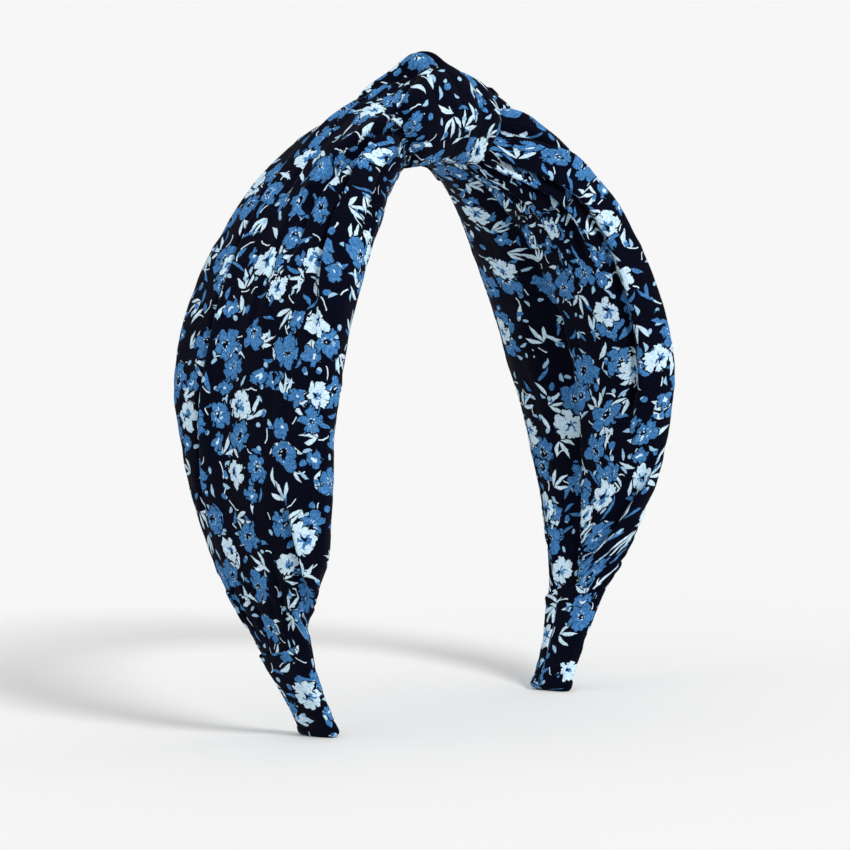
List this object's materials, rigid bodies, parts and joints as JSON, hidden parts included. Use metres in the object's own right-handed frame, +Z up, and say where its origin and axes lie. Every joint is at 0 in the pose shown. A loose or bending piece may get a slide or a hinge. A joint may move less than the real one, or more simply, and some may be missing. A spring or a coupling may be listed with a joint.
{
  "type": "knotted headband",
  "caption": "Springy arched hairband in a wide gathered printed-cotton cover, with a cloth knot at the crown and narrow sleeved tips.",
  "frame": {"origin": "on the floor, midway between the tips, at the bottom centre of the bounding box", "axes": "+Z up from the tips to the knot; +X from the left arm to the right arm; -Y towards the front edge of the cloth"},
  "size_m": [0.142, 0.0544, 0.1699],
  "materials": {
    "printed_cotton": "matt woven cotton, printed all over with small flowers",
    "facing_cotton": "matt woven cotton in the same print, laid flat",
    "sewing_thread": "dark thread",
    "band_plastic": "moulded, hidden under cloth"
  },
  "bodies": {
    "crown": {"band_crown": "band_plastic", "facing_crown": "facing_cotton", "knot_gather_left": "printed_cotton", "knot_gather_right": "printed_cotton", "knot_wrap": "printed_cotton", "knot_tack_front": "sewing_thread", "knot_tack_back": "sewing_thread"},
    "left_arm": {"band_arm_left": "band_plastic", "facing_left": "facing_cotton", "drape_left": "printed_cotton", "seam_thread_left": "sewing_thread", "tip_sleeve_left": "printed_cotton"},
    "right_arm": {"band_arm_right": "band_plastic", "facing_right": "facing_cotton", "drape_right": "printed_cotton", "seam_thread_right": "sewing_thread", "tip_sleeve_right": "printed_cotton"}
  },
  "joints": [
    {"name": "left_arm_flex", "type": "hinge", "parent": "crown", "child": "left_arm", "pos_m": [-0.02182, 0, 0.14339], "axis": [0, 1, 0], "range_deg": [-4, 10], "stiffness_Nm_per_rad": 1.2},
    {"name": "right_arm_flex", "type": "hinge", "parent": "crown", "child": "right_arm", "pos_m": [0.02182, 0, 0.14339], "axis": [0, -1, 0], "range_deg": [-4, 10], "stiffness_Nm_per_rad": 1.2}
  ]
}
